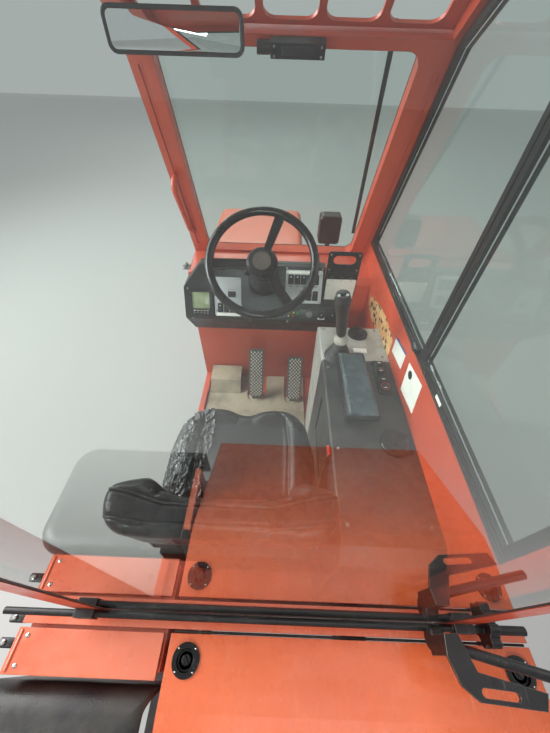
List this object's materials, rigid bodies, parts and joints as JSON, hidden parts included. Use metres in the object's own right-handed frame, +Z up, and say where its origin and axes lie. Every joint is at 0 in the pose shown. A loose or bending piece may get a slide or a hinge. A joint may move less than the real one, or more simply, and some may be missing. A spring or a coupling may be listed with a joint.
{
  "type": "telehandler operator cab",
  "caption": "Orange telehandler operator cab with raked windscreen, roof grille, dash, side console and seat, with the rear hood behind it, on a short chassis frame.",
  "frame": {"origin": "Centre of the four bolt holes in the feet of the chassis frame, at ground level", "axes": "X to the right of the driver, Y forward, Z up"},
  "size_m": [1.08, 2.38, 1.762],
  "materials": {
    "chassis_black": "semi-gloss black chassis paint, dusty",
    "rubber": "matte black rubber",
    "cab_orange": "satin red-orange machine paint, faded on top, worn at edges",
    "mat_beige": "worn ribbed floor mat, dusty beige",
    "trim_black": "satin black trim paint",
    "glass": "clear safety glass with light dust",
    "dash_plastic": "black grained plastic",
    "panel_grey": "grey satin panel with black rockers",
    "wheel_plastic": "smooth black moulded rim, polished by hands",
    "tread_steel": "worn diamond tread plate",
    "console_plastic": "dark grey moulded plastic",
    "boot_rubber": "grey dusty rubber bellows",
    "vinyl_grey": "grey-green vinyl, shiny with wear",
    "vinyl_black": "black seat vinyl, creased",
    "buckle_red": "red release button, dark stalk",
    "latch_black": "black moulded latch",
    "fender_plastic": "black grained plastic, greyed by weather",
    "worn_black": "chipped black paint, bare steel at the scuffs"
  },
  "bodies": {
    "cab": {"subframe": "chassis_black", "isolators": "rubber", "cab_floor": "cab_orange", "floor_mat": "mat_beige", "front_wall": "cab_orange", "front_frame": "cab_orange", "right_wall": "cab_orange", "rear_frame": "cab_orange", "roof_frame": "cab_orange", "roof_panel": "cab_orange", "roof_grille": "cab_orange", "side_window_frame": "trim_black", "window_seals": "rubber", "window_glass": "glass", "dash": "dash_plastic", "dash_display": "dash_plastic", "switch_panels": "panel_grey", "steering_column": "dash_plastic", "column_lever": "dash_plastic", "pedals": "tread_steel", "side_console": "console_plastic", "joystick_boot": "boot_rubber", "joystick": "dash_plastic", "armrest": "vinyl_grey", "air_vent": "dash_plastic", "seat_pedestal": "chassis_black", "belt_buckle": "buckle_red", "mirror_arm": "trim_black", "grab_handle": "cab_orange", "card_holder": "trim_black", "wiper_motor": "trim_black", "corner_lamp": "trim_black", "front_cover": "cab_orange", "rear_deck": "cab_orange", "rear_fender": "fender_plastic", "rear_bar": "worn_black"},
    "steering_wheel": {"steering_wheel": "wheel_plastic"},
    "seat": {"seat_pan": "chassis_black", "seat_cushion": "vinyl_black"},
    "seat_back": {"backrest": "vinyl_black"},
    "mirror": {"inside_mirror": "trim_black"},
    "wiper": {"wiper": "trim_black"},
    "hood": {"rear_hood": "cab_orange", "hood_latches": "latch_black"},
    "flap": {"left_flap": "cab_orange"}
  },
  "joints": [
    {"name": "wheel_turn", "type": "hinge", "parent": "cab", "child": "steering_wheel", "pos_m": [-0.056, 0.525, 1.05], "axis": [0, -0.6428, 0.766], "continuous": true},
    {"name": "seat_slide", "type": "slide", "parent": "cab", "child": "seat", "axis": [0, 1, 0], "range_m": [0, 0.12]},
    {"name": "back_fold", "type": "hinge", "parent": "seat", "child": "seat_back", "pos_m": [-0.084, -0.195, 0.782], "axis": [-1, 0, 0], "range_deg": [0, 60]},
    {"name": "mirror_tilt", "type": "hinge", "parent": "cab", "child": "mirror", "pos_m": [-0.212, 0.4593, 1.558], "axis": [1, 0, 0], "range_deg": [-15, 15]},
    {"name": "wiper_swing", "type": "hinge", "parent": "cab", "child": "wiper", "pos_m": [0.243, 0.61024, 1.56894], "axis": [0, -0.9057, -0.4239], "range_deg": [-75, 0]},
    {"name": "hood_hinge", "type": "hinge", "parent": "cab", "child": "hood", "pos_m": [0.168, -0.856, 0.474], "axis": [1, 0, 0], "range_deg": [0, 60]},
    {"name": "flap_hinge", "type": "hinge", "parent": "cab", "child": "flap", "pos_m": [-0.341, -0.396, 0.735], "axis": [-1, 0, 0], "range_deg": [0, 80]}
  ]
}
